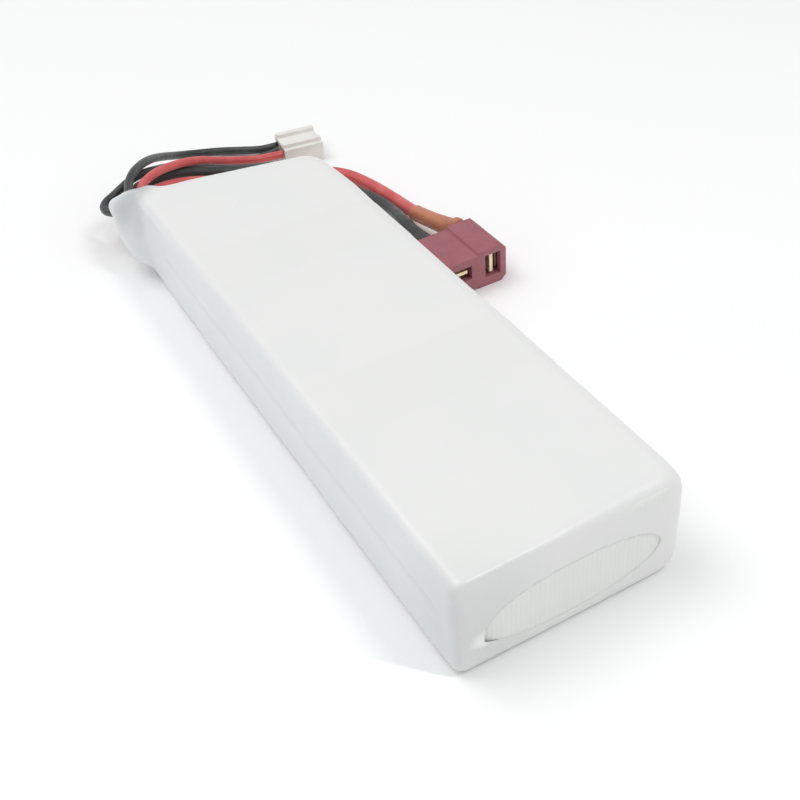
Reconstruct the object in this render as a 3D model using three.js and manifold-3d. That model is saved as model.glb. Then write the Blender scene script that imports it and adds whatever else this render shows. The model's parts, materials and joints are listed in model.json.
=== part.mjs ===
// A soft-case lithium polymer pack for radio-controlled models: two pouch cells in series, held by
// tape under a white heat-shrink film, with two silicone main leads to a T-shaped plug and three thin
// balance wires to a small white connector. Millimetres, +Z up. The origin is the middle of the flat
// underside. +Y runs along the pack to the end where the leads come out; +X is across it.
import * as THREE from "three";
import { mergeVertices } from "three/addons/utils/BufferGeometryUtils.js";
import Module from "manifold-3d";

const wasm = await Module();
wasm.setup();

// ---- Driving dimensions -------------------------------------------------------------------------

const gap = 0.3; // clearance between any two pieces
const packWidth = 42.5;
const packHeight = 20.8;
const nearEndY = -62.45; // outside of the film at the plain end
const halfWidth = packWidth / 2;

const filmWall = 0.35;
const filmRadius = { topRight: 4.6, topLeft: 2, bottomLeft: 2.5, bottomRight: 4 };
const nearEdgeRadius = 2.4; // how far the film turns in round the plain end
const windowCentre = { x: -0.65, z: 8.7 }; // the oval left open where the film shrank over the end
const windowHalf = { x: 16.35, z: 5.6 };
const windowTilt = THREE.MathUtils.degToRad(1.5);
const farSlope = 0.21; // the lead end is longer on the left than on the right
const farPivotX = 17; // where the far rings' own y is measured

const padThickness = 1.6;
const tapeThickness = 0.25;
const tapeBandWidth = 15;
const tapeBandY = [-20, 28.7]; // middle of each band
const cellNearY = -59.7;
const cellFarY = 48.5;
const cellInset = filmWall + gap + tapeThickness + gap; // from the film's outside to a pouch
const cellHalfWidth = halfWidth - cellInset;
const bondTapeThickness = 0.25;
const cellHeight = (packHeight - 2 * cellInset - bondTapeThickness - 2 * gap) / 2;
const pouchWall = 0.4;
const cellLowZ = { lower: cellInset, upper: packHeight - cellInset - cellHeight };

const tabWidth = 8;
const tabThickness = 0.3;
const tabX = 11; // tabs stand this far either side of the middle
const terraceLength = 3.6; // the sealed lip that the tabs come out of
const terraceHeight = tabThickness + 2 * gap + 2 * 0.35;
const slitWidth = tabWidth + 2 * gap;
const slitHeight = tabThickness + 2 * gap;

const boardHalfWidth = 17.5;
const boardZ = [3, 17.8];
const paperY = [52.4, 52.7];
const boardY = [53.0, 54.0];
const foldY = boardY[1] + gap; // near face of the folded tab ends
const foldLength = 3.9;
const solderY = foldY + tabThickness + gap;

const mainLeadDiameter = 3;
const balanceWireDiameter = 2;
const leadSides = 8;

const plugRightX = 42.6;
const plugLeftX = 26.2;
const plugHeight = 8.9;
const plugFrontY = 20.9;
const plugDepth = 12.9;
const plugRearY = plugFrontY + plugDepth;
const plugStepX = 35.3; // the full-height half lies right of this
const plugStep = 0.7; // how much lower the left half's top is beside the step
const plugTaper = 0.85; // how much lower the left half is at its end, top and bottom
const uprightSlot = { x: 39.3, z: 4.85, halfX: 1.9, halfZ: 2.7 };
const flatSlot = { x: 31.15, z: 4.75, halfX: 2.95, halfZ: 1.6 };
const slotDepth = 10.6;
const springPocket = 0.5; // room behind each spring
const bladeThickness = 0.8;
const bladeFrontY = plugFrontY + 0.8;
const tailEndY = 38.6;
const springThickness = 0.3;
const springRootY = plugFrontY + 10.2;
const springTipY = plugFrontY + 1.6;

const shrinkWall = 0.35;
const tailRoom = { upright: [1.45, 3.4], flat: [2.55, 1.45] }; // half across and half up, in a tube
const shrinkCover = { red: 11.4, black: 5.8 }; // how much of each main lead its tube covers
const leadEndY = tailEndY + gap + 0.1;

const connector = { width: 9.8, height: 5.75, length: 9.9, pitch: 2.5 };
const connectorRear = { x: 25.1, y: 98.2 };
const connectorTurn = THREE.MathUtils.degToRad(-8); // where it points, from +X towards +Y
const cavityHalf = { across: 0.95, up: 1.1, middle: 2.9 };

// Where each lead runs, from its solder joint, out of the film and along the table.
const mainBlackRoute = [
  [-14, 57.6, 13], [-14.8, 61.5, 12.8], [-16.9, 67, 12.2], [-18.5, 73, 11.7],
  [-19.9, 78.2, 11.4], [-19.3, 82.4, 11.1], [-16.4, 86.5, 10.7], [-11.6, 89.6, 10],
  [-5, 92, 9], [2, 92.4, 6.8], [7.6, 92.2, 5.2], [12, 90.8, 4.6],
  [16, 87.8, 4.9], [20, 83.6, 4.9], [24, 79.4, 3.7], [28, 75.2, 2.3],
  [31.2, 70.6, 1.65], [33.6, 65, 1.6], [34.4, 59.6, 1.85], [33.9, 54.4, 2.8],
  [33, 50.2, 3.9], [32.2, 46.6, 4.6], [31.5, 42.5, 4.75], [31.25, leadEndY, 4.75],
];
const mainRedRoute = [
  [-12.4, 57.6, 7.5], [-12.4, 61.5, 7.6], [-13.4, 67, 8.6], [-15.2, 72, 9.8],
  [-16.2, 76.6, 10.7], [-15.3, 81, 10.8], [-12, 84.6, 10.1], [-6.9, 87, 8.7],
  [-0.4, 88.2, 6.8], [5.6, 87.8, 4.6], [11, 86.6, 2.7], [16, 85.2, 1.75],
  [22, 84.6, 1.6], [27.4, 83.9, 1.6], [31.2, 82, 1.6], [33.9, 78.4, 1.6],
  [35.6, 73.6, 1.6], [37, 67.2, 1.6], [37.8, 60.6, 1.75], [37.6, 55.6, 2.6],
  [37.1, 51, 3.7], [37.1, 47.4, 4.4], [37.8, 43.6, 4.75], [38.7, 40.8, 4.85],
  [39.05, leadEndY, 4.85],
];
const balanceBlackRoute = [
  [-9.6, 57.6, 13.4], [-10.4, 61.5, 13.8], [-13.6, 67.2, 14.4], [-17, 73, 14.6],
  [-19.4, 78, 14.4], [-18.8, 82.4, 14.6], [-16.4, 86.8, 14.7], [-13, 91.6, 13.8],
  [-8.6, 97.6, 11.4], [-3.6, 104.2, 7.6], [1.6, 109.4, 4], [7.4, 111.4, 1.8],
  [12.6, 110, 1.3], [17.4, 107, 1.3], [21.6, 103.2, 1.9], [25.15, 100.68, 2.9],
];
const balanceMiddleRoute = [
  [-3.4, 57.6, 10.4], [-4.2, 61, 9.4], [-7.2, 64.2, 7], [-11.6, 66.4, 5.4],
  [-16, 68.6, 5.6], [-19.5, 71.4, 7.6], [-21.1, 74.4, 9.3], [-22.1, 77.2, 10.4],
  [-22.9, 79.4, 10.5], [-24, 81.6, 10], [-24.8, 83.8, 9.6], [-24.6, 86, 9.5],
  [-23.3, 87.8, 9.6], [-21.2, 88.8, 10], [-18.6, 89.6, 10.9], [-15.6, 90.9, 11.5],
  [-12, 93, 10.9], [-8.2, 95.6, 9.4], [-3.6, 98.8, 7.2], [1.6, 101.2, 4.2],
  [7, 102.4, 1.9], [12.6, 102.8, 1.3], [17.8, 100.8, 1.3], [21.6, 98.9, 2.1],
  [24.78, 98.24, 2.9],
];
const balanceRedRoute = [
  [-7.6, 57.6, 8.6], [-8.2, 61.5, 9.6], [-10.8, 66.8, 11.4], [-14, 72.4, 13.2],
  [-16.7, 77.4, 14.1], [-16.2, 81.4, 14], [-13.2, 84.8, 13.8], [-9.6, 87.6, 13.2],
  [-5.8, 89.9, 12.2], [-1.6, 92.2, 10.8], [3, 94.4, 8.8], [7.8, 96, 6.4],
  [12.8, 96.6, 4.6], [18.2, 96.2, 3.4], [24.43, 95.77, 2.9],
];

// ---- Materials ----------------------------------------------------------------------------------

function material(colour, roughness, metalness = 0) {
  return new THREE.MeshStandardMaterial({ color: colour, roughness, metalness });
}
const looks = {
  film: material(0xeff1ee, 0.35),
  pad: material(0xe6e7e5, 0.85),
  tape: material(0xf0e7c4, 0.5),
  bondTape: material(0xf4f4f0, 0.8),
  pouch: material(0xc6c8ca, 0.35, 0.8),
  electrode: material(0x3a3c40, 0.8),
  aluminium: material(0xd8dadd, 0.35, 1),
  nickel: material(0xc9c4b6, 0.3, 1),
  paper: material(0x9fb4a0, 0.9),
  board: material(0x2f6b45, 0.5),
  solder: material(0xb9bcc0, 0.3, 1),
  redLead: material(0xd62c2c, 0.45),
  blackLead: material(0x1e1f20, 0.45),
  plug: material(0x8e4250, 0.5),
  gold: material(0xd9b45c, 0.25, 1),
  spring: material(0xcfc7b0, 0.25, 1),
  orangeShrink: material(0xc9824f, 0.45),
  blackShrink: material(0x232424, 0.5),
  connector: material(0xf0efe9, 0.45),
  terminal: material(0xc2c4c6, 0.3, 1),
};

// ---- Solids -------------------------------------------------------------------------------------

// A closed geometry as a manifold-3d solid.
function solid(geometry) {
  const bare = geometry.clone();
  bare.deleteAttribute("normal");
  bare.deleteAttribute("uv");
  const merged = mergeVertices(bare, 1e-4);
  return new wasm.Manifold(new wasm.Mesh({
    numProp: 3,
    vertProperties: merged.attributes.position.array,
    triVerts: new Uint32Array(merged.index.array),
  }));
}

// A solid back to a geometry with flat faces.
function geometryOf(body) {
  const mesh = body.getMesh();
  const indexed = new THREE.BufferGeometry();
  indexed.setAttribute("position", new THREE.BufferAttribute(mesh.vertProperties, 3));
  indexed.setIndex(new THREE.BufferAttribute(mesh.triVerts, 1));
  const faceted = indexed.toNonIndexed();
  faceted.computeVertexNormals();
  return faceted;
}

// A closed skin through rings of points, each ring anticlockwise seen from the first ring's side.
function loft(rings) {
  const count = rings[0].length;
  const points = rings.flat();
  const triangles = [];
  for (let k = 0; k + 1 < rings.length; k++) {
    for (let i = 0; i < count; i++) {
      const here = k * count + i;
      const beside = k * count + ((i + 1) % count);
      triangles.push(here, here + count, beside + count);
      triangles.push(here, beside + count, beside);
    }
  }
  const last = (rings.length - 1) * count;
  for (let i = 1; i + 1 < count; i++) {
    triangles.push(0, i, i + 1);
    triangles.push(last, last + i + 1, last + i);
  }
  const geometry = new THREE.BufferGeometry().setFromPoints(points);
  geometry.setIndex(triangles);
  return geometry.toNonIndexed();
}

// A rounded rectangle in a plane across the pack. yAt gives each point's y from its x.
function rectangleRing(left, right, low, high, radius, yAt) {
  const steps = 4;
  const corners = [
    [right - radius.bottomRight, low + radius.bottomRight, radius.bottomRight, -90],
    [right - radius.topRight, high - radius.topRight, radius.topRight, 0],
    [left + radius.topLeft, high - radius.topLeft, radius.topLeft, 90],
    [left + radius.bottomLeft, low + radius.bottomLeft, radius.bottomLeft, 180],
  ];
  const ring = [];
  for (const [x, z, r, start] of corners) {
    for (let i = 0; i <= steps; i++) {
      const angle = THREE.MathUtils.degToRad(start + (90 * i) / steps);
      const px = x + r * Math.cos(angle);
      ring.push(new THREE.Vector3(px, yAt(px), z + r * Math.sin(angle)));
    }
  }
  return ring;
}

// An oval ring that faces along a direction turned from +Y towards -X.
function ovalRing(centre, turn, halfAcross, halfUp, sides = 20) {
  const angle = THREE.MathUtils.degToRad(turn);
  const across = new THREE.Vector3(Math.cos(angle), Math.sin(angle), 0);
  const ring = [];
  for (let i = 0; i < sides; i++) {
    const a = (2 * Math.PI * i) / sides;
    const point = new THREE.Vector3(...centre).addScaledVector(across, halfAcross * Math.cos(a));
    point.z += halfUp * Math.sin(a);
    ring.push(point);
  }
  return ring;
}

function evenRadius(r) {
  return { topRight: r, topLeft: r, bottomLeft: r, bottomRight: r };
}

// A block between two corners, with its long edges rounded and its ends flat.
function roundedBlock(low, high, radius) {
  const ends = [low[1], high[1]];
  const ring = (y) => rectangleRing(low[0], high[0], low[2], high[2], evenRadius(radius), () => y);
  return loft(ends.map(ring));
}

function block(low, high) {
  const size = high.map((value, axis) => value - low[axis]);
  const middle = high.map((value, axis) => (value + low[axis]) / 2);
  return new THREE.BoxGeometry(...size).translate(...middle);
}

// A shape drawn in X and Z, pushed from nearY to farY.
function extrudeAlongY(shape, nearY, farY) {
  const geometry = new THREE.ExtrudeGeometry(shape, {
    depth: farY - nearY,
    bevelEnabled: false,
    curveSegments: 12,
  });
  return geometry.rotateX(Math.PI / 2).translate(0, farY, 0);
}

function polygon(points) {
  return new THREE.Shape(points.map(([x, y]) => new THREE.Vector2(x, y)));
}

function pathThrough(route) {
  return new THREE.CatmullRomCurve3(route.map((p) => new THREE.Vector3(...p)));
}

// A round lead along its route.
function lead(route, diameter) {
  const path = pathThrough(route);
  const section = [];
  for (let i = 0; i < leadSides; i++) {
    const angle = (2 * Math.PI * i) / leadSides;
    section.push([Math.cos(angle) * diameter / 2, Math.sin(angle) * diameter / 2]);
  }
  return new THREE.ExtrudeGeometry(polygon(section), {
    steps: Math.round(path.getLength() / (2.2 * diameter)),
    bevelEnabled: false,
    extrudePath: path,
  });
}

// ---- The shrink film ----------------------------------------------------------------------------

function shrunkRadius(by) {
  const shrunk = {};
  for (const [corner, r] of Object.entries(filmRadius)) shrunk[corner] = Math.max(0.4, r - by);
  return shrunk;
}

// The sleeve over the cells, drawn in by wall on every side.
function sleeve(wall) {
  const inside = (inset) => [
    -halfWidth + wall + inset, halfWidth - wall - inset, wall + inset, packHeight - wall - inset,
  ];
  const rings = [];
  for (const [inward, back] of [[nearEdgeRadius, 0], [0.7, 0.7], [0, nearEdgeRadius]]) {
    rings.push(rectangleRing(...inside(inward), shrunkRadius(wall), () => nearEndY + wall + back));
  }
  const farRings = [
    { y: 46, slope: 0, right: 0, inward: 0 },
    { y: 58, slope: 0.85, right: 0.4, inward: 0 },
    { y: 61.4, slope: 1, right: 1.1, inward: 0.6 },
    { y: 62.6, slope: 1, right: 1.3, inward: 2 },
  ];
  for (const { y, slope, right, inward } of farRings) {
    const box = inside(inward);
    box[1] -= right;
    const yAt = (x) => y - wall + slope * farSlope * (farPivotX - x);
    rings.push(rectangleRing(...box, shrunkRadius(wall), yAt));
  }
  return solid(loft(rings));
}

// The spout that the leads leave by. rimBeyond pushes its open end out, to cut the rim through.
function spout(wall, rimBeyond) {
  const rim = [-18.9 + 0.21 * rimBeyond, 77.6 + 0.98 * rimBeyond, 11.7];
  const stations = [
    { centre: [-13, 56, 10.4], turn: 0, across: 7.9, up: 10 },
    { centre: [-13.8, 63, 10.4], turn: 0, across: 8, up: 10 },
    { centre: [-15.6, 66, 10.4], turn: -2, across: 9.2, up: 9.8 },
    { centre: [-17.2, 69.4, 10.6], turn: -4, across: 8.5, up: 8.9 },
    { centre: [-18.1, 73, 11], turn: -8, across: 7.5, up: 7.3 },
    { centre: [-18.6, 76, 11.6], turn: -11, across: 6.6, up: 5.5 },
    { centre: rim, turn: -12, across: 6.2, up: 4.6 },
  ];
  return solid(loft(stations.map((s) => ovalRing(s.centre, s.turn, s.across - wall, s.up - wall))));
}

function shrinkWrap() {
  const outside = sleeve(0).add(spout(0, 0));
  const inside = sleeve(filmWall).add(spout(filmWall, 1));
  const oval = new THREE.Shape();
  oval.absellipse(
    windowCentre.x, windowCentre.z, windowHalf.x, windowHalf.z, 0, 2 * Math.PI, false, windowTilt,
  );
  const window = solid(extrudeAlongY(oval, nearEndY - 1, nearEndY + 1));
  return geometryOf(outside.subtract(inside).subtract(window));
}

// ---- What the film holds ------------------------------------------------------------------------

function sectionRing(inset, y) {
  return rectangleRing(
    -halfWidth + inset, halfWidth - inset, inset, packHeight - inset, shrunkRadius(inset), () => y,
  );
}

// The pad's front edge is rounded off to sit inside the film's turned-in edge.
function nearEndPad() {
  const front = nearEndY + filmWall + gap;
  const rings = [[nearEdgeRadius + 0.8, 0], [1.8, 0.7], [1.4, padThickness]];
  return loft(rings.map(([inset, back]) => rectangleRing(
    -halfWidth + inset, halfWidth - inset, inset, packHeight - inset, evenRadius(3),
    () => front + back,
  )));
}

function tapeBand(middleY) {
  const outer = filmWall + gap;
  const inner = outer + tapeThickness;
  const near = middleY - tapeBandWidth / 2;
  const far = middleY + tapeBandWidth / 2;
  const band = solid(loft([sectionRing(outer, near), sectionRing(outer, far)]));
  const hole = solid(loft([sectionRing(inner, near - 1), sectionRing(inner, far + 1)]));
  return geometryOf(band.subtract(hole));
}

function tabZ(cell) {
  return cellLowZ[cell] + cellHeight / 2;
}

// A foil pouch with its flat sealed lip, hollow for the electrode stack, with a slit for each tab.
function pouch(cell) {
  const low = cellLowZ[cell];
  const z = tabZ(cell);
  const skin = solid(roundedBlock(
    [-cellHalfWidth, cellNearY, low], [cellHalfWidth, cellFarY, low + cellHeight], 3,
  ));
  const lip = solid(block(
    [-cellHalfWidth + 2, cellFarY - 0.5, z - terraceHeight / 2],
    [cellHalfWidth - 2, cellFarY + terraceLength, z + terraceHeight / 2],
  ));
  const hollow = solid(roundedBlock(
    [-cellHalfWidth + pouchWall, cellNearY + pouchWall, low + pouchWall],
    [cellHalfWidth - pouchWall, cellFarY - pouchWall, low + cellHeight - pouchWall], 2.6,
  ));
  let body = skin.add(lip).subtract(hollow);
  for (const side of [-1, 1]) {
    body = body.subtract(solid(block(
      [side * tabX - slitWidth / 2, cellFarY - 1, z - slitHeight / 2],
      [side * tabX + slitWidth / 2, cellFarY + terraceLength + 1, z + slitHeight / 2],
    )));
  }
  return geometryOf(body);
}

function electrodeStack(cell) {
  const inset = pouchWall + gap;
  const low = cellLowZ[cell];
  return roundedBlock(
    [-cellHalfWidth + inset, cellNearY + inset, low + inset],
    [cellHalfWidth - inset, cellFarY - inset - 0.6, low + cellHeight - inset], 2.3,
  );
}

// A tab runs out of its pouch, through the paper and the board, and is folded flat on the board.
function tab(cell, side) {
  const z = tabZ(cell);
  const fold = cell === "upper" ? -1 : 1;
  const x = side * tabX;
  const startY = cellFarY - pouchWall - 0.8;
  const strip = solid(block(
    [x - tabWidth / 2, startY, z - tabThickness / 2],
    [x + tabWidth / 2, foldY + tabThickness, z + tabThickness / 2],
  ));
  const ends = [z, z + fold * foldLength].sort((a, b) => a - b);
  const folded = solid(block(
    [x - tabWidth / 2, foldY, ends[0]], [x + tabWidth / 2, foldY + tabThickness, ends[1]],
  ));
  return geometryOf(strip.add(folded));
}

// A plate across the pack with a slot for each of the four tabs.
function slottedPlate(low, high) {
  let plate = solid(block(low, high));
  for (const cell of ["lower", "upper"]) {
    for (const side of [-1, 1]) {
      plate = plate.subtract(solid(block(
        [side * tabX - slitWidth / 2, low[1] - 1, tabZ(cell) - slitHeight / 2],
        [side * tabX + slitWidth / 2, high[1] + 1, tabZ(cell) + slitHeight / 2],
      )));
    }
  }
  return geometryOf(plate);
}

// A strip on the board's far face that joins the two right-hand tabs and reaches left to the tap.
function seriesLink() {
  return geometryOf(
    solid(block([tabX - 3.5, solderY, 7.6], [tabX + 3.5, solderY + tabThickness, 13.2]))
      .add(solid(block([-6.2, solderY, 9.6], [tabX, solderY + tabThickness, 11.2]))),
  );
}

// A bead of solder: a low dome on the board's far side.
function solderBead(x, z, halfAcross, halfUp, height) {
  const bead = new THREE.SphereGeometry(1, 12, 8).scale(halfAcross, height, halfUp);
  const dome = solid(bead.translate(x, solderY, z));
  const far = solid(block(
    [x - halfAcross - 1, solderY, z - halfUp - 1],
    [x + halfAcross + 1, solderY + height + 1, z + halfUp + 1],
  ));
  return geometryOf(dome.intersect(far));
}

function farEndPad() {
  return roundedBlock([-0.6, 57.2, 3], [17.4, 58.8, 17.8], 1.5);
}

// ---- The plug -----------------------------------------------------------------------------------

function plugHousing() {
  const chamfer = 1.1;
  const bevel = 0.6;
  const outline = polygon([
    [plugStepX, 0], [plugRightX - chamfer, 0], [plugRightX, chamfer],
    [plugRightX, plugHeight - bevel], [plugRightX - bevel, plugHeight], [plugStepX, plugHeight],
    [plugStepX, plugHeight - plugStep],
    [plugLeftX + bevel, plugHeight - plugTaper], [plugLeftX, plugHeight - plugTaper - bevel],
    [plugLeftX, plugTaper + bevel], [plugLeftX + bevel, plugTaper],
  ]);
  const slot = (s, fromY, toY, grow = {}) => solid(block(
    [s.x - s.halfX, fromY, s.z - s.halfZ - (grow.down ?? 0)],
    [s.x + s.halfX + (grow.right ?? 0), toY, s.z + s.halfZ],
  ));
  const tailSlit = (s, halfX, halfZ) => solid(block(
    [s.x - halfX, plugFrontY + slotDepth - 0.5, s.z - halfZ], [s.x + halfX, plugRearY + 1, s.z + halfZ],
  ));
  const slotEndY = plugFrontY + slotDepth;
  const tailHalf = bladeThickness / 2 + gap;
  return geometryOf(
    solid(extrudeAlongY(outline, plugFrontY, plugRearY))
      .subtract(slot(uprightSlot, plugFrontY - 1, slotEndY))
      .subtract(slot(uprightSlot, plugFrontY + 1.3, slotEndY, { right: springPocket }))
      .subtract(slot(flatSlot, plugFrontY - 1, slotEndY))
      .subtract(slot(flatSlot, plugFrontY + 1.3, slotEndY, { down: springPocket }))
      .subtract(tailSlit(uprightSlot, tailHalf, 2.2))
      .subtract(tailSlit(flatSlot, 2.2, tailHalf)),
  );
}

// A contact blade lies along the middle of its slot; its narrower tail passes out at the back.
function contactBlade(slot, upright) {
  const half = bladeThickness / 2;
  const size = (wide) => (upright ? [half, wide] : [wide, half]);
  const part = (wide, fromY, toY) => {
    const [halfX, halfZ] = size(wide);
    return solid(block(
      [slot.x - halfX, fromY, slot.z - halfZ], [slot.x + halfX, toY, slot.z + halfZ],
    ));
  };
  const shoulderY = plugFrontY + slotDepth - gap;
  return geometryOf(part(2.25, bladeFrontY, shoulderY).add(part(1.85, shoulderY - 1, tailEndY)));
}

// A bowed leaf beside its blade. out is how far each point lies from the slot's middle.
function leafOutline() {
  const middle = new THREE.CatmullRomCurve3([
    new THREE.Vector3(springRootY, 1.62, 0),
    new THREE.Vector3(springRootY - 1.6, 1.5, 0),
    new THREE.Vector3((springRootY + springTipY) / 2, 0.9, 0),
    new THREE.Vector3(springTipY + 1.4, 1.4, 0),
    new THREE.Vector3(springTipY, 1.62, 0),
  ]).getSpacedPoints(12);
  const face = (side) => middle.map((p) => [p.x, p.y + (side * springThickness) / 2]);
  return [...face(-1), ...face(1).reverse()];
}

function uprightSpring() {
  const outline = polygon(leafOutline().map(([y, out]) => [uprightSlot.x + out, y]));
  const height = 3.8;
  return new THREE.ExtrudeGeometry(outline, { depth: height, bevelEnabled: false })
    .translate(0, 0, uprightSlot.z - height / 2);
}

function flatSpring() {
  const outline = polygon(leafOutline().map(([y, out]) => [y, flatSlot.z - (out - 0.25)]));
  const width = 4.2;
  const leaf = new THREE.ExtrudeGeometry(outline, { depth: width, bevelEnabled: false });
  const turned = new THREE.Matrix4().makeBasis(
    new THREE.Vector3(0, 1, 0), new THREE.Vector3(0, 0, 1), new THREE.Vector3(1, 0, 0),
  );
  return leaf.applyMatrix4(turned).translate(flatSlot.x - width / 2, 0, 0);
}

// A shrink tube from the back of the plug: oval over the tail, then round along the lead's end.
function shrinkTube(slot, room, route, cover) {
  const oval = (wall) => room.map((half) => half + wall);
  const sides = 12;
  const path = pathThrough(route);
  const length = path.getLength();
  const ringOnLead = (back, half) => {
    const along = 1 - back / length;
    const heading = path.getTangentAt(along);
    const turn = THREE.MathUtils.radToDeg(Math.atan2(heading.x, -heading.y));
    return ovalRing(path.getPointAt(along).toArray(), turn, half, half, sides);
  };
  const skin = (wall, beyond) => {
    const round = mainLeadDiameter / 2 + gap + wall;
    const rings = [plugRearY + gap - beyond, tailEndY - 1.2].map((y) => (
      ovalRing([slot.x, y, slot.z], 0, ...oval(wall), sides)
    ));
    for (const back of [1.4, cover / 2, cover + beyond]) rings.push(ringOnLead(back, round));
    return solid(loft(rings));
  };
  return geometryOf(skin(shrinkWall, 0).subtract(skin(0, 1)));
}

// ---- The balance connector ----------------------------------------------------------------------

// Its own frame: x across the wires, y the way it points, z up, rear face at y = 0.
function connectorHousing() {
  const { width, height, length, pitch } = connector;
  const outline = polygon([
    [-width / 2, 0], [width / 2, 0], [width / 2, height - 0.9], [width / 2 - 1.2, height - 0.9],
    [width / 2 - 1.2, height], [width / 2 - 2.6, height], [width / 2 - 2.6, height - 0.9],
    [-width / 2 + 2.6, height - 0.9], [-width / 2 + 2.6, height], [-width / 2 + 1.2, height],
    [-width / 2 + 1.2, height - 0.9], [-width / 2, height - 0.9],
  ]);
  let housing = solid(extrudeAlongY(outline, 0, length));
  for (const side of [-1, 0, 1]) {
    const x = side * pitch;
    housing = housing.subtract(solid(block(
      [x - cavityHalf.across, -1, cavityHalf.middle - cavityHalf.up],
      [x + cavityHalf.across, length + 1, cavityHalf.middle + cavityHalf.up],
    )));
  }
  return geometryOf(housing);
}

// A crimped terminal: a folded channel, open on top.
function terminal(side) {
  const x = side * connector.pitch;
  const half = cavityHalf.across - gap;
  const low = cavityHalf.middle - cavityHalf.up + gap;
  const high = cavityHalf.middle + cavityHalf.up - gap;
  const wall = 0.2;
  const channel = polygon([
    [x - half, low], [x + half, low], [x + half, high], [x + half - wall, high],
    [x + half - wall, low + wall], [x - half + wall, low + wall], [x - half + wall, high],
    [x - half, high],
  ]);
  return extrudeAlongY(channel, 0.4, connector.length - 1);
}

// ---- Assembly -----------------------------------------------------------------------------------

const battery = new THREE.Group();

function place(name, geometry, look, parent = battery) {
  const mesh = new THREE.Mesh(geometry, look);
  mesh.name = name;
  parent.add(mesh);
}

place("shrink_wrap", shrinkWrap(), looks.film);
place("near_end_pad", nearEndPad(), looks.pad);
place("far_end_pad", farEndPad(), looks.pad);
place("tape_band_near", tapeBand(tapeBandY[0]), looks.tape);
place("tape_band_far", tapeBand(tapeBandY[1]), looks.tape);

const bondLowZ = cellLowZ.lower + cellHeight + gap;
for (const [name, nearY] of [["cell_bond_tape_near", -52], ["cell_bond_tape_far", 4]]) {
  const low = [-14, nearY, bondLowZ];
  const high = [14, nearY + 38, bondLowZ + bondTapeThickness];
  place(name, block(low, high), looks.bondTape);
}

for (const cell of ["upper", "lower"]) {
  place(`pouch_${cell}`, pouch(cell), looks.pouch);
  place(`electrode_stack_${cell}`, electrodeStack(cell), looks.electrode);
}
place("tab_negative_upper", tab("upper", -1), looks.nickel);
place("tab_positive_upper", tab("upper", 1), looks.aluminium);
place("tab_positive_lower", tab("lower", -1), looks.aluminium);
place("tab_negative_lower", tab("lower", 1), looks.nickel);

const boardLow = [-boardHalfWidth, boardY[0], boardZ[0]];
const boardHigh = [boardHalfWidth, boardY[1], boardZ[1]];
place("insulating_paper", slottedPlate(
  [boardLow[0], paperY[0], boardLow[2]], [boardHigh[0], paperY[1], boardHigh[2]],
), looks.paper);
place("tab_board", slottedPlate(boardLow, boardHigh), looks.board);
place("series_link", seriesLink(), looks.nickel);
place("solder_joint_negative", solderBead(-11.8, 13.1, 3.6, 1.8, 1.8), looks.solder);
place("solder_joint_positive", solderBead(-10.4, 7.6, 3.9, 1.6, 1.8), looks.solder);

place("main_lead_black", lead(mainBlackRoute, mainLeadDiameter), looks.blackLead);
place("main_lead_red", lead(mainRedRoute, mainLeadDiameter), looks.redLead);
place("balance_wire_black", lead(balanceBlackRoute, balanceWireDiameter), looks.blackLead);
place("balance_wire_middle", lead(balanceMiddleRoute, balanceWireDiameter), looks.blackLead);
place("balance_wire_red", lead(balanceRedRoute, balanceWireDiameter), looks.redLead);

place("plug_housing", plugHousing(), looks.plug);
place("contact_blade_positive", contactBlade(uprightSlot, true), looks.gold);
place("contact_blade_negative", contactBlade(flatSlot, false), looks.gold);
place("contact_spring_positive", uprightSpring(), looks.spring);
place("contact_spring_negative", flatSpring(), looks.spring);
place("heat_shrink_positive", shrinkTube(uprightSlot, tailRoom.upright, mainRedRoute, shrinkCover.red),
  looks.orangeShrink);
place("heat_shrink_negative", shrinkTube(flatSlot, tailRoom.flat, mainBlackRoute, shrinkCover.black),
  looks.blackShrink);

const connectorGroup = new THREE.Group();
connectorGroup.position.set(connectorRear.x, connectorRear.y, 0);
connectorGroup.rotation.z = connectorTurn - Math.PI / 2;
battery.add(connectorGroup);
place("balance_housing", connectorHousing(), looks.connector, connectorGroup);
[["black", -1], ["middle", 0], ["red", 1]].forEach(([wire, side]) => {
  place(`balance_terminal_${wire}`, terminal(side), looks.terminal, connectorGroup);
});

export default battery;
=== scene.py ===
"""A soft-case lithium polymer pack in white shrink film, with its leads, T-shaped plug and balance
connector, lying on a pale table. Lengths are in millimetres until a mesh is made; +Z is up and +Y
runs along the pack to the end where the leads come out."""

import json
import math

import bmesh
import bpy
import numpy as np
from mathutils import Matrix, Vector, noise
from mathutils.bvhtree import BVHTree


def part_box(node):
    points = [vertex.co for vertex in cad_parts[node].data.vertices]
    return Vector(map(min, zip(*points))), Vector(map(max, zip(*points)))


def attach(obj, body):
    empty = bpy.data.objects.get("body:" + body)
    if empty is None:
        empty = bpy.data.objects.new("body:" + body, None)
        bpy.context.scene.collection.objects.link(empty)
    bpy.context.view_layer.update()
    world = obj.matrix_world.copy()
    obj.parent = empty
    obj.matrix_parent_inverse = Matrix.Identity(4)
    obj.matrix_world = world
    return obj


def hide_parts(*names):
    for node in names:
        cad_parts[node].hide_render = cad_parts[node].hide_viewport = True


MM = 0.001

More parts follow.
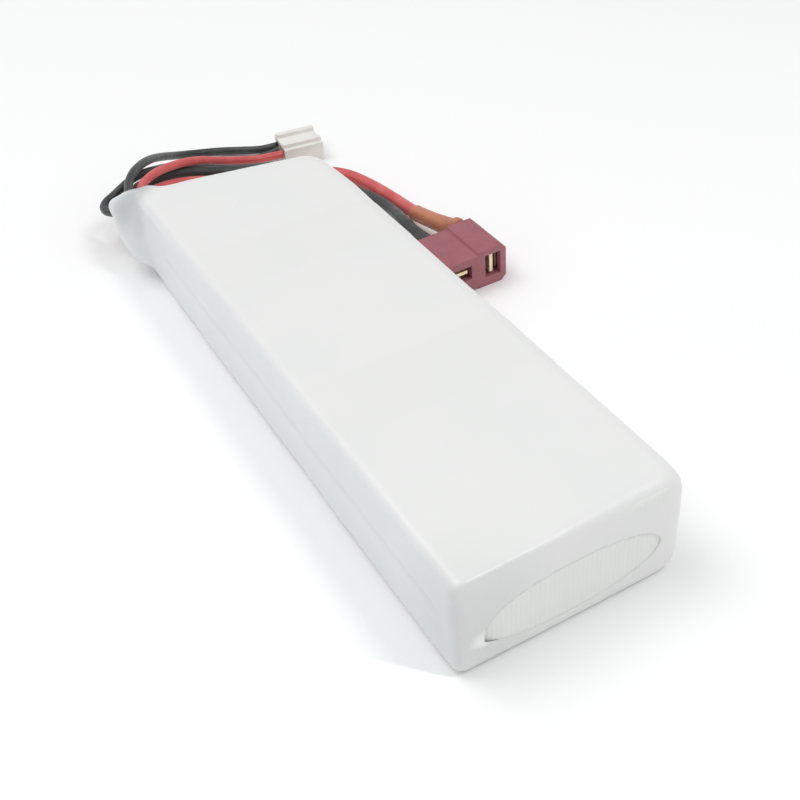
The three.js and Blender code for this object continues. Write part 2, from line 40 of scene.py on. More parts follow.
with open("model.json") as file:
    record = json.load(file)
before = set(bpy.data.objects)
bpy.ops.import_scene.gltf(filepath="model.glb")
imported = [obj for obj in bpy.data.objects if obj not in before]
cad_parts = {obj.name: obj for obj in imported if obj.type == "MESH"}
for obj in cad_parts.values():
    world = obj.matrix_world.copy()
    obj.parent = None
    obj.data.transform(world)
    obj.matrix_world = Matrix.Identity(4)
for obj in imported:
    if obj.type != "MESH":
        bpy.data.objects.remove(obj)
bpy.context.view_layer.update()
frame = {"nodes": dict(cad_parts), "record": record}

# ---- Sizes shared with the solids ----------------------------------------------------------------

HALF_WIDTH = 21.25
HEIGHT = 20.8
MIDDLE_Z = HEIGHT / 2
NEAR_Y = -62.45
CORNER = {"top_right": 4.6, "top_left": 2.0, "bottom_left": 2.5, "bottom_right": 4.0}
BAND_MIDDLES = (-20.0, 28.7)
BAND_WIDTH = 15.0
WINDOW = {"x": -0.65, "z": 8.7, "half_x": 16.35, "half_z": 5.6, "tilt": math.radians(1.5)}
FAR_SLOPE = 0.21
FAR_PIVOT_X = 17.0
FAR_FACE_Y = 62.6
FILM_VOXEL = 0.53
CREASE_REACH = 1.6  # how far the film is rounded where the spout leaves the pack
STRAIGHT_TO_Y = 50
RELIEF = {  # how far the film stands out over what is under it, or sinks in beside it
    "tape": 0.10, "seam": 0.11, "between_cells": -0.42, "cell_side": 0.16, "shoulder": -0.07,
    "swell": 0.16, "ripple": 0.09, "collar": 0.10, "dimple": -0.45, "notch": -0.30,
}

MAIN_LEAD = 3.0
BALANCE_WIRE = 2.0
ROUTE_STEPS = 6  # steps of a curve between two points of a route

PLUG = {"left": 26.2, "right": 42.6, "front": 20.9, "rear": 33.8, "height": 8.9, "step_x": 35.3}
PLUG_TAPER = 0.85
UPRIGHT_SLOT = {"x": 39.3, "z": 4.85, "half_x": 1.9, "half_z": 2.7}
FLAT_SLOT = {"x": 31.15, "z": 4.75, "half_x": 2.95, "half_z": 1.6}
SLOT_DEPTH = 10.6
SPRING_POCKET = 0.5
SPRING_POCKET_START = 1.3
SPRING_POCKET_STEP = 0.02
TAIL_THIN, TAIL_WIDE = 0.7, 2.2
SHRINK_COVER = {"red": 11.4, "black": 5.8}  # how much of each main lead its tube covers
TUBE_START_Y = PLUG["rear"] + 0.3
TUBE_STRAIGHT = 2.9
TUBE_TO_LEAD = 4.9

CONNECTOR_REAR = (25.1, 98.2)
CONNECTOR_TURN = math.radians(-98)
CONNECTOR = {"width": 9.8, "height": 5.75, "length": 9.9, "pitch": 2.5}
CAVITY = {"across": 0.95, "up": 1.1, "middle": 2.9}

MAIN_BLACK_ROUTE = [
    (-14, 57.6, 13), (-14.8, 61.5, 12.8), (-16.9, 67, 12.2), (-18.5, 73, 11.7),
    (-19.9, 78.2, 11.4), (-19.3, 82.4, 11.1), (-16.4, 86.5, 10.7), (-11.6, 89.6, 10),
    (-5, 92, 9), (2, 92.4, 6.8), (7.6, 92.2, 5.2), (12, 90.8, 4.6),
    (16, 87.8, 4.9), (20, 83.6, 4.9), (24, 79.4, 3.7), (28, 75.2, 2.3),
    (31.2, 70.6, 1.65), (33.6, 65, 1.6), (34.4, 59.6, 1.85), (33.9, 54.4, 2.8),
    (33, 50.2, 3.9), (32.2, 46.6, 4.6), (31.5, 42.5, 4.75), (31.25, 39, 4.75),
]
MAIN_RED_ROUTE = [
    (-12.4, 57.6, 7.5), (-12.4, 61.5, 7.6), (-13.4, 67, 8.6), (-15.2, 72, 9.8),
    (-16.2, 76.6, 10.7), (-15.3, 81, 10.8), (-12, 84.6, 10.1), (-6.9, 87, 8.7),
    (-0.4, 88.2, 6.8), (5.6, 87.8, 4.6), (11, 86.6, 2.7), (16, 85.2, 1.75),
    (22, 84.6, 1.6), (27.4, 83.9, 1.6), (31.2, 82, 1.6), (33.9, 78.4, 1.6),
    (35.6, 73.6, 1.6), (37, 67.2, 1.6), (37.8, 60.6, 1.75), (37.6, 55.6, 2.6),
    (37.1, 51, 3.7), (37.1, 47.4, 4.4), (37.8, 43.6, 4.75), (38.7, 40.8, 4.85),
    (39.05, 39, 4.85),
]
BALANCE_BLACK_ROUTE = [
    (-9.6, 57.6, 13.4), (-10.4, 61.5, 13.8), (-13.6, 67.2, 14.4), (-17, 73, 14.6),
    (-19.4, 78, 14.4), (-18.8, 82.4, 14.6), (-16.4, 86.8, 14.7), (-13, 91.6, 13.8),
    (-8.6, 97.6, 11.4), (-3.6, 104.2, 7.6), (1.6, 109.4, 4), (7.4, 111.4, 1.8),
    (12.6, 110, 1.3), (17.4, 107, 1.3), (21.6, 103.2, 1.9), (25.15, 100.68, 2.9),
]
BALANCE_MIDDLE_ROUTE = [
    (-3.4, 57.6, 10.4), (-4.2, 61, 9.4), (-7.2, 64.2, 7), (-11.6, 66.4, 5.4),
    (-16, 68.6, 5.6), (-19.5, 71.4, 7.6), (-21.1, 74.4, 9.3), (-22.1, 77.2, 10.4),
    (-22.9, 79.4, 10.5), (-24, 81.6, 10), (-24.8, 83.8, 9.6), (-24.6, 86, 9.5),
    (-23.3, 87.8, 9.6), (-21.2, 88.8, 10), (-18.6, 89.6, 10.9), (-15.6, 90.9, 11.5),
    (-12, 93, 10.9), (-8.2, 95.6, 9.4), (-3.6, 98.8, 7.2), (1.6, 101.2, 4.2),
    (7, 102.4, 1.9), (12.6, 102.8, 1.3), (17.8, 100.8, 1.3), (21.6, 98.9, 2.1),
    (24.78, 98.24, 2.9),
]
BALANCE_RED_ROUTE = [
    (-7.6, 57.6, 8.6), (-8.2, 61.5, 9.6), (-10.8, 66.8, 11.4), (-14, 72.4, 13.2),
    (-16.7, 77.4, 14.1), (-16.2, 81.4, 14), (-13.2, 84.8, 13.8), (-9.6, 87.6, 13.2),
    (-5.8, 89.9, 12.2), (-1.6, 92.2, 10.8), (3, 94.4, 8.8), (7.8, 96, 6.4),
    (12.8, 96.6, 4.6), (18.2, 96.2, 3.4), (24.43, 95.77, 2.9),
]


# ---- Camera --------------------------------------------------------------------------------------

def place_camera():
    """Looks down along the pack from beyond the left of its plain end."""
    data = bpy.data.cameras.new("camera")
    data.sensor_width = 36
    data.lens = 51.57
    data.clip_start = 0.01
    camera = bpy.data.objects.new("camera", data)
    bpy.context.scene.collection.objects.link(camera)
    right = Vector((0.86830, -0.49166, -0.06575))
    up = Vector((0.36331, 0.54009, 0.75915))
    back = Vector((-0.33774, -0.68306, 0.64759))
    place = Vector((-70.637, -151.418, 142.004)) * MM
    axes = Matrix((right, up, back)).transposed().to_4x4()
    camera.matrix_world = Matrix.Translation(place) @ axes
    bpy.context.scene.camera = camera


# ---- Meshes --------------------------------------------------------------------------------------

def mesh_object(name, vertices, faces, smooth=True):
    """A mesh from points in millimetres."""
    mesh = bpy.data.meshes.new(name)
    mesh.from_pydata([Vector(v) * MM for v in vertices], [], faces)
    mesh.validate()
    if smooth:
        mesh.shade_smooth()
    obj = bpy.data.objects.new(name, mesh)
    bpy.context.scene.collection.objects.link(obj)
    return obj


def loft(rings):
    """Vertices and faces of a skin through rings of points, closed at both ends."""
    count = len(rings[0])
    vertices = [tuple(p) for ring in rings for p in ring]
    faces = []
    for k in range(len(rings) - 1):
        for i in range(count):
            here, beside = k * count + i, k * count + (i + 1) % count
            faces.append((here, here + count, beside + count, beside))
    faces.append(tuple(range(count)))
    faces.append(tuple(reversed(range(len(vertices) - count, len(vertices)))))
    return vertices, faces


def edit_mesh(mesh, change):
    """Lets a function change a mesh by way of a bmesh."""
    edit = bmesh.new()
    edit.from_mesh(mesh)
    change(edit)
    edit.to_mesh(mesh)
    edit.free()


def face_outwards(edit):
    bmesh.ops.recalc_face_normals(edit, faces=edit.faces)


def outward(obj):
    """The same object, with every face of its closed mesh turned outwards."""
    edit_mesh(obj.data, face_outwards)
    return obj


def paint(obj, look):
    """Gives an object one material."""
    obj.data.materials.clear()
    obj.data.materials.append(look)


def apply_modifiers(obj):
    """Replaces the mesh by what its modifiers make of it."""
    depsgraph = bpy.context.evaluated_depsgraph_get()
    made = bpy.data.meshes.new_from_object(obj.evaluated_get(depsgraph))
    obj.modifiers.clear()
    obj.data = made


def subtract(obj, cutter):
    """Cuts one closed shape out of another and removes the cutter."""
    modifier = obj.modifiers.new("cut", "BOOLEAN")
    modifier.operation = "DIFFERENCE"
    modifier.solver = "EXACT"
    modifier.material_mode = "TRANSFER"
    modifier.object = cutter
    apply_modifiers(obj)
    bpy.data.objects.remove(cutter)


def soften(obj, width, segments=3):
    """Rounds the sharp edges, and shades smooth across all others."""
    bevel = obj.modifiers.new("bevel", "BEVEL")
    bevel.width = width * MM
    bevel.segments = segments
    bevel.limit_method = "ANGLE"
    bevel.angle_limit = math.radians(30)
    apply_modifiers(obj)
    obj.data.shade_smooth()
    obj.data.set_sharp_from_angle(angle=math.radians(40))


def step(low, high, value):
    """0 below low, 1 above high, and a smooth rise between."""
    t = np.clip((value - low) / (high - low), 0, 1)
    return t * t * (3 - 2 * t)


def hump(distance, spread):
    """1 where the distance is 0, falling away smoothly on both sides."""
    return np.exp(-((distance / spread) ** 2))


def rounded_section(left, right, low, high, corner):
    """Points and outward normals round a rounded rectangle, as (x, z), from the bottom right."""
    arc_points, up_spans, along_spans = 9, 12, 24
    corners = [
        (right - corner["bottom_right"], low + corner["bottom_right"], corner["bottom_right"], -90),
        (right - corner["top_right"], high - corner["top_right"], corner["top_right"], 0),
        (left + corner["top_left"], high - corner["top_left"], corner["top_left"], 90),
        (left + corner["bottom_left"], low + corner["bottom_left"], corner["bottom_left"], 180),
    ]
    points, normals = [], []
    for k, (x, z, radius, start) in enumerate(corners):
        for i in range(arc_points):
            angle = math.radians(start + 90 * i / (arc_points - 1))
            normals.append((math.cos(angle), math.sin(angle)))
            points.append((x + radius * math.cos(angle), z + radius * math.sin(angle)))
        x2, z2, radius2, start2 = corners[(k + 1) % 4]
        end = math.radians(start2)
        target = (x2 + radius2 * math.cos(end), z2 + radius2 * math.sin(end))
        origin, normal = points[-1], normals[-1]
        spans = up_spans if k % 2 == 0 else along_spans
        for i in range(1, spans):
            t = i / spans
            points.append((origin[0] + (target[0] - origin[0]) * t,
                           origin[1] + (target[1] - origin[1]) * t))
            normals.append(normal)
    return np.array(points), np.array(normals)


def oval_ring(centre, turn, across, up):
    """An upright oval across +Y, turned by turn degrees about the vertical."""
    sides = 48
    angle = math.radians(turn)
    ring = []
    for i in range(sides):
        a = 2 * math.pi * i / sides
        reach = across * math.cos(a)
        ring.append((centre[0] + reach * math.cos(angle), centre[1] + reach * math.sin(angle),
                     centre[2] + up * math.sin(a)))
    return ring


def catmull_rom(points, per_span):
    """A centripetal Catmull-Rom curve through the points."""
    p = [np.array(q, float) for q in points]
    p = [2 * p[0] - p[1]] + p + [2 * p[-1] - p[-2]]
    line = []
    for i in range(1, len(p) - 2):
        knots = [0.0]
        for a, b in zip(p[i - 1:i + 2], p[i:i + 3]):
            knots.append(knots[-1] + max(np.linalg.norm(b - a), 1e-6) ** 0.5)
        t0, t1, t2, t3 = knots
        for k in range(per_span):
            t = t1 + (t2 - t1) * k / per_span
            a1 = (t1 - t) / (t1 - t0) * p[i - 1] + (t - t0) / (t1 - t0) * p[i]
            a2 = (t2 - t) / (t2 - t1) * p[i] + (t - t1) / (t2 - t1) * p[i + 1]
            a3 = (t3 - t) / (t3 - t2) * p[i + 1] + (t - t2) / (t3 - t2) * p[i + 2]
            b1 = (t2 - t) / (t2 - t0) * a1 + (t - t0) / (t2 - t0) * a2
            b2 = (t3 - t) / (t3 - t1) * a2 + (t - t1) / (t3 - t1) * a3
            line.append((t2 - t) / (t2 - t1) * b1 + (t - t1) / (t2 - t1) * b2)
    line.append(p[-2])
    return line


def line_length(line):
    """The length of a line of points."""
    return sum(float(np.linalg.norm(b - a)) for a, b in zip(line, line[1:]))


# ---- Materials -----------------------------------------------------------------------------------

class Look:
    """A node material on object coordinates, which are metres in the part's own frame."""

    def __init__(self, name, colour, roughness, metallic=0.0):
        self.material = bpy.data.materials.new(name)
        self.material.use_nodes = True
        self.material.diffuse_color = (*colour, 1)
        self.nodes = self.material.node_tree.nodes
        self.links = self.material.node_tree.links
        self.shader = self.nodes["Principled BSDF"]
        self.shader.inputs["Base Color"].default_value = (*colour, 1)
        self.shader.inputs["Roughness"].default_value = roughness
        self.shader.inputs["Metallic"].default_value = metallic
        self.coordinates = self.nodes.new("ShaderNodeTexCoord").outputs["Object"]

    def set(self, **values):
        for name, value in values.items():
            self.shader.inputs[name.replace("_", " ")].default_value = value

    def stretched(self, scale):
        mapping = self.nodes.new("ShaderNodeMapping")
        mapping.inputs["Scale"].default_value = scale
        self.links.new(self.coordinates, mapping.inputs["Vector"])
        return mapping.outputs["Vector"]

    def noise(self, size, detail=3.0, stretch=(1, 1, 1)):
        """Noise whose features are about size millimetres."""
        node = self.nodes.new("ShaderNodeTexNoise")
        node.inputs["Scale"].default_value = 1000 / size
        node.inputs["Detail"].default_value = detail
        self.links.new(self.stretched(stretch), node.inputs["Vector"])
        return node.outputs["Fac"]

    def waves(self, pitch, axis, distortion=0.4):
        """Parallel lines, pitch millimetres apart along an axis."""
        node = self.nodes.new("ShaderNodeTexWave")
        node.bands_direction = axis
        node.inputs["Scale"].default_value = 2 * math.pi / (20 * pitch * MM)
        node.inputs["Distortion"].default_value = distortion
        node.inputs["Detail"].default_value = 2
        node.inputs["Detail Scale"].default_value = 1.5
        self.links.new(self.coordinates, node.inputs["Vector"])
        return node.outputs["Fac"]

    def between(self, axis, low, high, ramp):
        """1 where the axis coordinate lies between low and high millimetres, with soft edges."""
        part = self.nodes.new("ShaderNodeSeparateXYZ")
        self.links.new(self.coordinates, part.inputs["Vector"])
        value = part.outputs[axis]
        rise = self.remap(value, (low - ramp) * MM, (low + ramp) * MM, 0, 1)
        fall = self.remap(value, (high - ramp) * MM, (high + ramp) * MM, 1, 0)
        return self.math("MULTIPLY", rise, fall)

    def near(self, place, inner, outer, most):
        """most within inner millimetres of a place, falling to 0 at outer."""
        node = self.nodes.new("ShaderNodeVectorMath")
        node.operation = "DISTANCE"
        node.inputs[1].default_value = Vector(place) * MM
        self.links.new(self.coordinates, node.inputs[0])
        return self.remap(node.outputs["Value"], inner * MM, outer * MM, most, 0)

    def remap(self, value, from_low, from_high, low, high):
        node = self.nodes.new("ShaderNodeMapRange")
        node.interpolation_type = "SMOOTHSTEP"
        for name, number in (("From Min", from_low), ("From Max", from_high),
                             ("To Min", low), ("To Max", high)):
            node.inputs[name].default_value = number
        self.links.new(value, node.inputs["Value"])
        return node.outputs["Result"]

    def math(self, operation, first, second):
        node = self.nodes.new("ShaderNodeMath")
        node.operation = operation
        for index, value in enumerate((first, second)):
            if isinstance(value, (int, float)):
                node.inputs[index].default_value = value
            else:
                self.links.new(value, node.inputs[index])
        return node.outputs["Value"]

    def blend_colour(self, factor, colour):
        """Mixes a colour over what the base colour is so far."""
        node = self.nodes.new("ShaderNodeMix")
        node.data_type = "RGBA"
        base = self.shader.inputs["Base Color"]
        first, second = node.inputs[6], node.inputs[7]
        if base.is_linked:
            self.links.new(base.links[0].from_socket, first)
        else:
            first.default_value = base.default_value
        second.default_value = (*colour, 1)
        self.links.new(factor, node.inputs["Factor"])
        self.links.new(node.outputs[2], base)

    def vary_roughness(self, value, low, high):
        self.links.new(self.remap(value, 0.3, 0.7, low, high), self.shader.inputs["Roughness"])

    def bump(self, height, depth):
        """Adds relief of depth millimetres."""
        node = self.nodes.new("ShaderNodeBump")
        node.inputs["Distance"].default_value = depth * MM
        node.inputs["Strength"].default_value = 1.0
        normal = self.shader.inputs["Normal"]
        if normal.is_linked:
            self.links.new(normal.links[0].from_socket, node.inputs["Normal"])
        self.links.new(height, node.inputs["Height"])
        self.links.new(node.outputs["Normal"], normal)


def film_look():
    """White film, greyer over the tapes and at the spout, with painted shade at the near left
    corner, a painted bluish sky tint on the left side and a painted highlight on the curl at the
    oval's left end.
    """
    look = Look("film", (0.80, 0.805, 0.79), 0.36)
    look.blend_colour(look.remap(look.noise(16, 2), 0.35, 0.7, 0, 0.5), (0.765, 0.775, 0.765))
    for middle in BAND_MIDDLES:
        band = look.between("Y", middle - BAND_WIDTH / 2, middle + BAND_WIDTH / 2, 0.5)
        look.blend_colour(look.math("MULTIPLY", band, 0.25), (0.775, 0.78, 0.76))
    # painted bluish sky tint on the left side, standing in for the cool light that side gets
    painted_sky_tint_left = look.between("X", -30, -20.6, 0.9)
    look.blend_colour(look.math("MULTIPLY", painted_sky_tint_left, 0.7), (0.785, 0.82, 0.83))
    look.blend_colour(look.near((-21.5, 71, 16.5), 2, 9.5, 0.8), (0.44, 0.47, 0.485))
    # painted shade: darkens the near end and the near part of the left side round the near left
    # corner
    look.blend_colour(look.near((-19.5, -63, 10), 3, 19, 0.55), (0.63, 0.65, 0.64))
    # painted highlight on the curl at the oval's left end
    look.blend_colour(look.near((-17, -63, 7.8), 0.9, 2.6, 0.8), (0.93, 0.935, 0.925))
    look.vary_roughness(look.noise(7, 1), 0.31, 0.37)
    look.bump(look.noise(9, 2, (1, 0.35, 1)), 0.17)
    return look.material


def pad_look():
    """White foam with faint upright ribs."""
    look = Look("pad", (0.80, 0.81, 0.79), 0.85)
    ribs = look.waves(0.85, "X", 0.8)
    look.blend_colour(look.remap(ribs, 0.25, 0.75, 0, 0.09), (0.71, 0.72, 0.70))
    look.bump(ribs, 0.02)
    look.bump(look.noise(0.35, 2, (1, 1, 0.4)), 0.025)
    look.set(Sheen_Weight=0.3)
    return look.material


def silicone_look(name, colour, worn):
    look = Look(name, colour, 0.4)
    look.blend_colour(look.remap(look.noise(4, 3), 0.4, 0.7, 0, 0.6), worn)
    look.vary_roughness(look.noise(1.5, 3), 0.34, 0.5)
    look.bump(look.noise(0.5, 3), 0.01)
    look.set(Sheen_Weight=0.15)
    return look.material


def moulded_look(name, colour, shade, roughness=0.45, grain=0.008):
    look = Look(name, colour, roughness)
    look.blend_colour(look.remap(look.noise(3, 4), 0.35, 0.7, 0, 0.6), shade)
    look.vary_roughness(look.noise(0.9, 3), roughness - 0.06, roughness + 0.08)
    look.bump(look.noise(0.22, 3), grain)
    look.bump(look.noise(2.5, 2), 0.03)
    look.set(Subsurface_Weight=0.08, Subsurface_Scale=0.0006)
    return look.material


def metal_look(name, colour, roughness, stretch, relief=0.006, metallic=1.0):
    look = Look(name, colour, roughness, metallic)
    scratches = look.noise(0.3, 4, stretch)
    shade = tuple(0.72 * c for c in colour)
    look.blend_colour(look.remap(look.noise(1.6, 3), 0.4, 0.75, 0, 0.5), shade)
    look.vary_roughness(scratches, roughness - 0.08, roughness + 0.12)
    look.bump(scratches, relief)
    return look.material


def foil_look():
    look = Look("pouch_foil", (0.62, 0.63, 0.64), 0.38, 0.85)
    cells = look.nodes.new("ShaderNodeTexVoronoi")
    cells.inputs["Scale"].default_value = 1400
    look.links.new(look.coordinates, cells.inputs["Vector"])
    look.bump(cells.outputs["Distance"], 0.02)
    look.bump(look.noise(12, 3), 0.15)
    look.vary_roughness(look.noise(6, 3), 0.32, 0.48)
    return look.material


def electrode_look():
    look = Look("electrodes", (0.05, 0.052, 0.058), 0.8)
    layers = look.waves(0.3, "Z", 0.2)
    look.blend_colour(look.remap(layers, 0.6, 0.9, 0, 1), (0.32, 0.20, 0.13))
    look.bump(layers, 0.04)
    return look.material


def tape_look(name, colour, roughness):
    look = Look(name, colour, roughness)
    shade = tuple(0.86 * c for c in colour)
    look.blend_colour(look.remap(look.noise(5, 3), 0.4, 0.7, 0, 0.5), shade)
    look.bump(look.noise(0.4, 3), 0.01)
    return look.material


def board_look():
    look = Look("board", (0.02, 0.13, 0.06), 0.45)
    look.blend_colour(look.remap(look.waves(0.5, "X", 0.1), 0.5, 0.9, 0, 0.4), (0.03, 0.2, 0.1))
    look.bump(look.waves(0.5, "Z", 0.1), 0.01)
    return look.material


def floor_look():
    look = Look("table", (0.965, 0.965, 0.965), 0.6)
    look.blend_colour(look.remap(look.noise(60, 2), 0.3, 0.7, 0, 0.3), (0.955, 0.955, 0.955))
    return look.material


# ---- The film ------------------------------------------------------------------------------------

def far_face_y(x):
    """Where the slanted lead end of the pack is."""
    return FAR_FACE_Y + FAR_SLOPE * (FAR_PIVOT_X - x)


def sleeve_rings():
    """Rings of the film round the cells: turned in over the plain end, slanted at the lead end."""
    near_points, normals = rounded_section(-HALF_WIDTH, HALF_WIDTH, 0, HEIGHT, CORNER)
    top, bottom = np.clip(normals[:, 1], 0, 1) ** 2, np.clip(-normals[:, 1], 0, 1) ** 2
    right, left = np.clip(normals[:, 0], 0, 1) ** 2, np.clip(-normals[:, 0], 0, 1) ** 2
    x = near_points[:, 0]
    top_radius = 0.75 + 0.5 * step(-12.5, -11, x) + 2.6 * step(-9, 13, x)
    radius = top * top_radius + bottom * 2.4 + right * 3.85 + left * 1.7
    rings = []
    for degrees in range(0, 91, 15):  # round the edge of the plain end
        turn = math.radians(degrees)
        place = near_points - normals * (radius * (1 - math.sin(turn)))[:, None]
        y = NEAR_Y + radius * (1 - math.cos(turn))
        rings.append(np.column_stack([place[:, 0], y, place[:, 1]]))
    for y, slope, narrowing, inward in (  # share of the lead end's slope, then how far in
        (-57, 0, 0, 0), (46, 0, 0, 0), (58, 0.85, 0.4, 0), (60.2, 0.95, 0.8, 0.15),
        (61.5, 1, 1.1, 0.6), (62.3, 1, 1.2, 1.2), (FAR_FACE_Y, 1, 1.3, 2.0),
    ):
        corner = {name: max(0.8, r - inward) for name, r in CORNER.items()}
        place, _ = rounded_section(
            -HALF_WIDTH + inward, HALF_WIDTH - narrowing - inward, inward, HEIGHT - inward, corner
        )
        rings.append(np.column_stack([
            place[:, 0], y + slope * FAR_SLOPE * (FAR_PIVOT_X - place[:, 0]), place[:, 1]
        ]))
    return rings


SPOUT = [  # centre, turn in degrees, half width, half height; the last is beyond the rim, cut away
    ((-13, 56, 10.4), 0, 7.9, 10), ((-13.8, 63, 10.4), 0, 8, 10),
    ((-15.6, 66, 10.4), -2, 9.2, 9.8),
    ((-17.2, 69.4, 10.6), -4, 8.5, 8.9), ((-18.1, 73, 11), -8, 7.5, 7.3),
    ((-18.6, 76, 11.6), -11, 6.6, 5.5), ((-18.9, 77.6, 11.7), -12, 6.2, 4.6),
    ((-18.4, 80.05, 11.8), -12, 6.0, 4.5),
]
RIM_CENTRE, RIM_TURN = SPOUT[-2][:2]


def spout_stations():
    """The spout's sections, smoothly between the given ones: rows of x, y, z, turn, across, up."""
    return catmull_rom([(*c, turn, across, up) for c, turn, across, up in SPOUT], 5)


def near_spout(points, stations):
    """How far each point lies outside the spout's side, in millimetres."""
    middles = np.array(stations)
    nearest = np.argmin(np.abs(points[:, 1:2] - middles[None, :, 1]), axis=1)
    s = middles[nearest]
    x = (points[:, 0] - s[:, 0]) / s[:, 4]
    z = (points[:, 2] - s[:, 2]) / s[:, 5]
    return (np.hypot(x, z) - 1) * np.minimum(s[:, 4], s[:, 5])


def smoothed(points, edges, weight, rounds):
    """Moves points towards their neighbours' middle, by weight each round."""
    count = np.bincount(edges.ravel(), minlength=len(points))[:, None]
    for _ in range(rounds):
        total = np.empty_like(points)
        for axis in range(3):
            total[:, axis] = (
                np.bincount(edges[:, 0], points[edges[:, 1], axis], len(points))
                + np.bincount(edges[:, 1], points[edges[:, 0], axis], len(points))
            )
        points = points + (total / np.maximum(count, 1) - points) * weight
    return points


def gather(items, attribute, width, kind=float):
    """A row of width numbers for each vertex, normal or edge."""
    values = np.empty(len(items) * width, kind)
    items.foreach_get(attribute, values)
    return values.reshape(-1, width)


def read_points(mesh):
    return gather(mesh.vertices, "co", 3) / MM


def write_points(mesh, points):
    mesh.vertices.foreach_set("co", (points * MM).ravel())
    mesh.update()


def film_relief(points, normals):
    """How far the film stands out at each point, in millimetres, for what it is shrunk over."""
    x, y, z = points.T
    top, bottom = step(0.5, 0.95, normals[:, 2]), step(0.5, 0.95, -normals[:, 2])
    side = step(0.5, 0.95, np.abs(normals[:, 0]))
    near = step(0.4, 0.95, -normals[:, 1])
    along = step(-60, -56, y) * (1 - step(50, 56, y))

    relief = np.zeros(len(points))
    for middle in BAND_MIDDLES:
        from_tape = np.abs(y - middle) - BAND_WIDTH / 2
        relief += RELIEF["tape"] * along * (1 - step(-0.4, 0.6, from_tape))
    seam_x = -7.55 - 0.022 * (y + 24)
    seam = hump(x - seam_x, 0.45) * step(-55, -52, y) * (1 - step(-2, 22, y))
    relief += RELIEF["seam"] * top * seam
    relief += RELIEF["between_cells"] * side * along * hump(z - MIDDLE_Z, 1.3)
    cell_side = np.abs(np.sin(np.pi * np.clip(z / MIDDLE_Z, 0, 2)))
    relief += RELIEF["cell_side"] * side * along * cell_side
    relief += RELIEF["shoulder"] * (top + bottom) * along * hump(np.abs(x) - 17.5, 1.6)
    swell = np.array([noise.noise((a * 0.045, b * 0.03, c * 0.06)) for a, b, c in points])
    ripple = np.array([noise.noise((a * 0.16, b * 0.07 + 9, c * 0.16)) for a, b, c in points])
    relief += along * (RELIEF["swell"] * swell + RELIEF["ripple"] * ripple)

    across, up = (x - WINDOW["x"]) / WINDOW["half_x"], (z - WINDOW["z"]) / WINDOW["half_z"]
    from_middle, angle = np.hypot(across, up), np.arctan2(up, across)
    puckers = 0.04 * np.sin(23 * angle + 2 * np.sin(3 * angle)) + 0.02 * np.sin(41 * angle)
    relief += near * hump(from_middle - 1, 0.35) * puckers
    relief += RELIEF["collar"] * near * hump(from_middle - 1.25, 0.3)

    dimple = hump(x + 19.6, 0.9) * hump(z - 17.7, 0.6) * step(-61.5, -62.3, y)
    notch = hump(x + 11.7, 0.35) * hump(y + 62, 1.2) * hump(z - 20.4, 1.2)
    return relief + RELIEF["dimple"] * dimple + RELIEF["notch"] * notch


def spout_relief(points):
    """Soft folds that run along the spout to its mouth."""
    x, y, z = points.T
    start = step(65, 71, y)
    angle = np.arctan2(z - MIDDLE_Z, x + 17.5)
    folds = 0.28 * np.sin(5 * angle + 0.8) + 0.16 * np.sin(9 * angle + 0.12 * y)
    grain = np.array([noise.noise((a * 0.22, b * 0.22, c * 0.22)) for a, b, c in points])
    bulge = 0.5 * hump(y - 69, 2.6) * hump(z - 4, 3.5) * step(-19, -23, x)
    return start * np.maximum(folds * step(66, 78, y) + 0.3 * grain, -0.1) + bulge


def window_reach(x, z):
    """Places across and up the oval at the plain end, in its half widths and half heights."""
    tilt = WINDOW["tilt"]
    across = (x - WINDOW["x"]) * math.cos(tilt) + (z - WINDOW["z"]) * math.sin(tilt)
    up = -(x - WINDOW["x"]) * math.sin(tilt) + (z - WINDOW["z"]) * math.cos(tilt)
    return across / WINDOW["half_x"], up / WINDOW["half_z"]


def open_window(film):
    """Cuts the oval through the film alone: the cutter's own faces are told by their material."""
    turn = WINDOW["tilt"]
    outline, sides = [], 120
    for i in range(sides):
        a = 2 * math.pi * i / sides
        across, up = WINDOW["half_x"] * math.cos(a), WINDOW["half_z"] * math.sin(a)
        outline.append((WINDOW["x"] + across * math.cos(turn) - up * math.sin(turn),
                        WINDOW["z"] + across * math.sin(turn) + up * math.cos(turn)))
    cutter = prism("cutter", outline, NEAR_Y - 2, NEAR_Y + 1.5)
    own, other = (bpy.data.materials.new(name) for name in ("film_face", "cut_face"))
    film.data.materials.append(own)
    cutter.data.materials.append(other)
    subtract(film, cutter)
    cut_index = film.data.materials.find(other.name)

    def drop_walls(edit):
        walls = [f for f in edit.faces if f.material_index == cut_index]
        bmesh.ops.delete(edit, geom=walls, context="FACES")

    edit_mesh(film.data, drop_walls)
    for material in (own, other):
        bpy.data.materials.remove(material)


def open_mouth(edit):
    """Cuts the spout off square at its rim."""
    turn = math.radians(RIM_TURN)
    bmesh.ops.bisect_plane(
        edit, geom=edit.verts[:] + edit.edges[:] + edit.faces[:], dist=1e-6,
        plane_co=Vector(RIM_CENTRE) * MM, plane_no=(-math.sin(turn), math.cos(turn), 0),
        clear_outer=True,
    )


def add_lip(edit, choose, direction, turns):
    """Turns a cut edge in, by steps towards its middle and along a direction."""
    rim = [e for e in edit.edges if e.is_boundary and all(choose(v.co) for v in e.verts)]
    for inward, ahead in turns:
        made = bmesh.ops.extrude_edge_only(edit, edges=rim)["geom"]
        verts = [g for g in made if isinstance(g, bmesh.types.BMVert)]
        middle = sum((v.co for v in verts), Vector()) / len(verts)
        for v in verts:
            away = v.co - middle
            away -= direction * away.dot(direction)
            v.co += direction * ahead * MM - away.normalized() * inward * MM
        rim = [g for g in made if isinstance(g, bmesh.types.BMEdge) and g.is_boundary]


